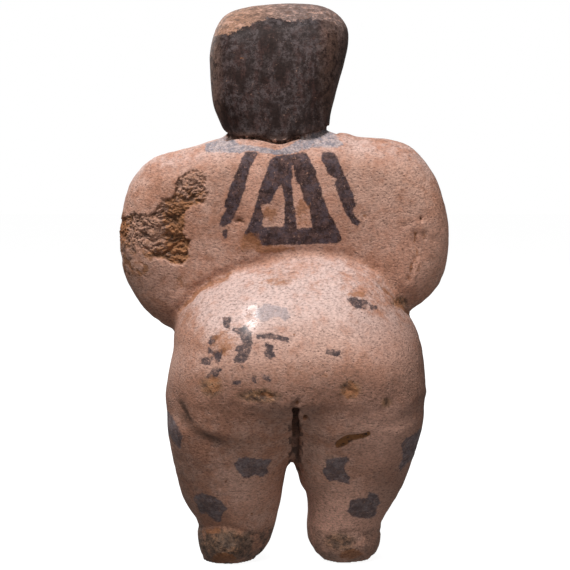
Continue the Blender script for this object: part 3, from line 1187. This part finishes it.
def makeFiredClay():
    material = bpy.data.materials.new("firedClay")
    material.use_nodes = True
    tree = material.node_tree
    tree.nodes.clear()
    place = addNode(tree, "TexCoord").outputs["Object"]
    colour = clayColours

    def mark(name):
        return addNode(tree, "Attribute", attribute_name=name).outputs["Fac"]

    def share(mask, amount):
        return calculate(tree, "MULTIPLY", mask, amount)

    def useGroup(group, **inputs):
        used = tree.nodes.new("ShaderNodeGroup")
        used.node_tree = group
        for name, value in {"Place": place, **inputs}.items():
            if isinstance(value, bpy.types.NodeSocket):
                tree.links.new(value, used.inputs[name])
            else:
                used.inputs[name].default_value = value
        return used.outputs

    def painted(name, ragged, worn):
        return useGroup(paintEdge, Distance=mark(name), Ragged=ragged, Worn=worn)["Mask"]

    # Clay with its dust and grains
    lostMask = mark("lost")
    sand = useGroup(sandyClay, Coarse=between(tree, lostMask, 0.8, 1.6))
    surface = laidOver(tree, eased(tree, sand["Tone"], 0.40, 0.60), colour["slipWarm"], colour["slipLight"])
    crown = laidOver(tree, mark("crownWarm"), colour["crownGrey"], colour["crownWarm"])
    smears = noiseOf(tree, calculatePlace(tree, place, (0.8, 1, 1.4)), 1.5, 5.0, 0.75)
    crown = laidOver(tree, share(eased(tree, smears, 0.5, 0.58), 0.85), crown, colour["grainDark"])
    crown = laidOver(tree, share(eased(tree, smears, 0.47, 0.40), 0.6), crown, colour["slipLight"])
    surface = laidOver(tree, share(mark("crown"), 0.95), surface, crown)
    paledMask = calculate(tree, "MULTIPLY", mark("paled"), eased(tree, sand["Tone"], 0.32, 0.56))
    surface = laidOver(tree, share(paledMask, 0.75), surface, colour["paled"])
    surface = laidOver(tree, share(mark("browned"), 0.66), surface, colour["browned"])
    surface = laidOver(tree, share(mark("fresh"), 0.9), surface, colour["fresh"])
    rubble = noiseOf(tree, place, 1.3, 5.0, 0.7)
    surface = laidOver(tree, share(mark("scabbed"), 0.65), surface, colour["scab"])
    crumbled = calculate(tree, "MULTIPLY", mark("scabbed"), eased(tree, rubble, 0.49, 0.44))
    surface = laidOver(tree, share(crumbled, 0.85), surface, colour["deep"])
    surface = laidOver(tree, share(sand["Dark"], 0.55), surface, colour["grainDark"])
    surface = laidOver(tree, share(mark("pitted"), 0.7), surface, colour["grainDark"])

    # Hair, brushed on downwards, hazed in patches, rubbed in specks and worn brown at its edges
    brushed = noiseOf(tree, calculatePlace(tree, place, (1, 1, 0.3)), 2.2, 6.0, 0.7)
    mottle = noiseOf(tree, place, 1.7, 6.0, 0.8)
    patches = noiseOf(tree, calculatePlace(tree, place, (1, 1, 0.7)), 5.0, 5.0, 0.65)
    hair = laidOver(tree, share(eased(tree, brushed, 0.46, 0.60), 0.8), colour["hair"], colour["hairRed"])
    hazy = calculate(tree, "MULTIPLY", eased(tree, mottle, 0.38, 0.62), eased(tree, patches, 0.38, 0.58))
    hair = laidOver(tree, share(hazy, 0.9), hair, colour["hairGrey"])
    rubbed = noiseOf(tree, calculatePlace(tree, place, (1, 1, 0.8)), 1.3, 5.0, 0.85)
    hair = laidOver(tree, share(eased(tree, rubbed, 0.49, 0.42), 0.85), hair, colour["hair"])
    wear = calculate(tree, "MULTIPLY", mark("hairWear"), eased(tree, mottle, 0.36, 0.58))
    hair = laidOver(tree, share(wear, 0.7), hair, colour["hairBrown"])
    hairMask = painted("hairDistance", 5.5, 0.18)
    surface = laidOver(tree, share(hairMask, 0.97), surface, hair)

    # The band, the tresses and the spots
    thin = eased(tree, mottle, 0.46, 0.62)
    faded = eased(tree, noiseOf(tree, place, 2.6, 6.0, 0.75), 0.42, 0.6)
    bandMask = painted("bandDistance", 2.0, 0.35)
    band = laidOver(tree, eased(tree, mottle, 0.42, 0.58), colour["band"], colour["bandThin"])
    surface = laidOver(tree, share(bandMask, 0.9), surface, band)
    tressMask = painted("tressDistance", 1.5, 0.3)
    tress = laidOver(tree, share(faded, 0.8), colour["tress"], colour["tressHaze"])
    tress = laidOver(tree, share(thin, 0.8), tress, colour["tressThin"])
    surface = laidOver(tree, share(tressMask, 0.95), surface, tress)
    legMask = painted("legDistance", 2.2, 0.3)
    seatMask = painted("seatDistance", 2.2, 0.35)
    spot = laidOver(tree, share(faded, 0.9), colour["spot"], colour["spotHaze"])
    spot = laidOver(tree, share(thin, 0.6), spot, colour["spotThin"])
    surface = laidOver(tree, share(legMask, 0.95), surface, spot)
    seatSpot = laidOver(tree, thin, colour["seatSpot"], colour["spotThin"])
    surface = laidOver(tree, share(seatMask, 0.95), surface, seatSpot)
    sheenMask = painted("sheenDistance", 2.6, 0.4)
    surface = laidOver(tree, share(sheenMask, 0.5), surface, colour["band"])
    surface = laidOver(tree, painted("whiteDistance", 0.4, 0.2), surface, colour["white"])
    inkMask = painted("inkDistance", 0.4, 0.2)
    surface = laidOver(tree, inkMask, surface, colour["tress"])
    paintMask = hairMask
    for other in (bandMask, tressMask, legMask, seatMask, inkMask):
        paintMask = calculate(tree, "MAXIMUM", paintMask, other)

    # Worn heels, bared clay, soil and hollows, with every grain a little lighter or darker
    scuffed = eased(tree, noiseOf(tree, place, 3, 4.0, 0.6), 0.3, 0.6)
    heelMask = calculate(tree, "MULTIPLY", mark("heel"), scuffed)
    surface = laidOver(tree, share(heelMask, 0.8), surface, colour["heel"])
    heelMask = calculate(tree, "MULTIPLY", heelMask, eased(tree, smears, 0.48, 0.58))
    surface = laidOver(tree, share(heelMask, 0.7), surface, colour["deep"])
    ochre = eased(tree, calculate(tree, "ADD", rubble, share(mark("ochre"), 0.28)), 0.5, 0.7)
    bare = laidOver(tree, share(ochre, 0.9), colour["bareGrey"], colour["bareOchre"])
    bare = laidOver(tree, share(eased(tree, mark("crumbs"), 0.42, 0.08), 0.55), bare, colour["bareLow"])
    bare = laidOver(tree, share(eased(tree, rubble, 0.48, 0.36), 0.5), bare, colour["bareLow"])
    surface = laidOver(tree, lostMask, surface, bare)
    soilMask = useGroup(soilPatch, Amount=mark("soil"))["Mask"]
    surface = laidOver(tree, share(soilMask, 0.75), surface, colour["soil"])
    grain = between(tree, sand["Grain"], 0.78, 1.24)
    surface = addNode(tree, "VectorMath", {0: surface, "Scale": grain}, operation="SCALE").outputs[0]
    gouge = laidOver(tree, eased(tree, rubble, 0.52, 0.36), colour["bareOchre"], colour["bareLow"])
    surface = laidOver(tree, eased(tree, mark("gouged"), 0.25, 0.6), surface, gouge)
    surface = laidOver(tree, share(eased(tree, mark("hidden"), 0.5, 1.0), 0.8), surface, colour["deep"])

    gloss = calculate(tree, "MULTIPLY", mark("burnish"), calculate(tree, "SUBTRACT", 1, lostMask))
    roughness = between(tree, gloss, 0.8, 0.38)
    roughness = between(tree, share(paintMask, 0.6), roughness, 0.5)
    roughness = calculate(tree, "ADD", roughness, share(soilMask, 0.25))
    uneven = calculate(tree, "SUBTRACT", sand["Tone"], 0.5)
    roughness = calculate(tree, "MULTIPLY_ADD", uneven, 0.4, roughness)
    roughness = between(tree, mark("polish"), roughness, 0.1)
    strength = between(tree, calculate(tree, "MAXIMUM", share(paintMask, 0.8), mark("polish")), 1.0, 0.15)
    bump = addNode(tree, "Bump", {"Strength": strength, "Distance": 0.28 * mm, "Height": sand["Height"]})
    shader = addNode(tree, "BsdfPrincipled", {
        "Base Color": surface, "Roughness": roughness, "Normal": bump.outputs[0],
        "Specular IOR Level": between(tree, mark("polish"), between(tree, paintMask, 0.45, 0.12), 0.9),
    })
    output = tree.nodes.new("ShaderNodeOutputMaterial")
    tree.links.new(shader.outputs[0], output.inputs["Surface"])
    return material


mesh.materials.append(makeFiredClay())
print("clay painted")

# Plain white ground and soft studio light from above and behind the figure.
ground = {"size": 8, "colour": (0.2, 0.2, 0.2, 1), "glow": 0.94}
mesh = bpy.data.meshes.new("ground")
half = ground["size"] / 2
mesh.from_pydata([(-half, -half, 0), (half, -half, 0), (half, half, 0), (-half, half, 0)], [], [(0, 1, 2, 3)])
floor = bpy.data.objects.new("ground", mesh)
paper = bpy.data.materials.new("paper")
paper.use_nodes = True
paperShader = paper.node_tree.nodes["Principled BSDF"]
paperShader.inputs["Base Color"].default_value = ground["colour"]
paperShader.inputs["Roughness"].default_value = 0.9
paperShader.inputs["Emission Color"].default_value = (1, 1, 1, 1)
paperShader.inputs["Emission Strength"].default_value = ground["glow"]
mesh.materials.append(paper)
bpy.context.scene.collection.objects.link(floor)
floor.visible_diffuse = False
floor.visible_glossy = False

lamps = {
    "above": {"from": (0.2, 0.5, 0.84), "size": 0.32, "power": 10.8, "away": 0.9},
    "behind": {"from": (-0.5, 0.82, -0.22), "size": 0.6, "power": 7.0, "away": 1.1},
    "front": {"from": (0.4, -0.8, 0.5), "size": 0.7, "power": 6, "away": 1.1},
}
centre = Vector((0, 0, 0.08))
for name, lamp in lamps.items():
    light = bpy.data.lights.new(name, "AREA")
    light.size = lamp["size"]
    light.energy = lamp["power"]
    holder = bpy.data.objects.new(name, light)
    direction = Vector(lamp["from"]).normalized()
    holder.location = centre + direction * lamp["away"]
    holder.rotation_euler = direction.to_track_quat("Z", "Y").to_euler()
    bpy.context.scene.collection.objects.link(holder)

# The sky shows white and lights the clay less, as screens round a table would.
sky = bpy.data.worlds.new("sky")
bpy.context.scene.world = sky
sky.use_nodes = True
tree = sky.node_tree
tree.nodes.clear()
dim = addNode(tree, "Background", {"Color": (1, 1, 1, 1), "Strength": 0.19})
bright = addNode(tree, "Background", {"Color": (1, 1, 1, 1), "Strength": 1.0})
chosen = addNode(tree, "MixShader", {0: addNode(tree, "LightPath").outputs["Is Camera Ray"]})
tree.links.new(dim.outputs[0], chosen.inputs[1])
tree.links.new(bright.outputs[0], chosen.inputs[2])
output = tree.nodes.new("ShaderNodeOutputWorld")
tree.links.new(chosen.outputs[0], output.inputs["Surface"])

camera = bpy.data.objects.new("camera", bpy.data.cameras.new("camera"))
camera.data.lens = 100
camera.data.sensor_width = 36
aim = Vector((viewpoint["aimX"] + shift[0], shift[1], viewpoint["aimZ"])) * mm
sight = Vector((0, math.cos(viewpoint["elevation"]), math.sin(viewpoint["elevation"])))
camera.location = aim + sight * viewpoint["distance"] * mm
camera.rotation_euler = sight.to_track_quat("Z", "Y").to_euler()
camera.data.clip_start = 0.01
bpy.context.scene.collection.objects.link(camera)
bpy.context.scene.camera = camera
bpy.context.scene.view_settings.view_transform = "Standard"
print("stage set")
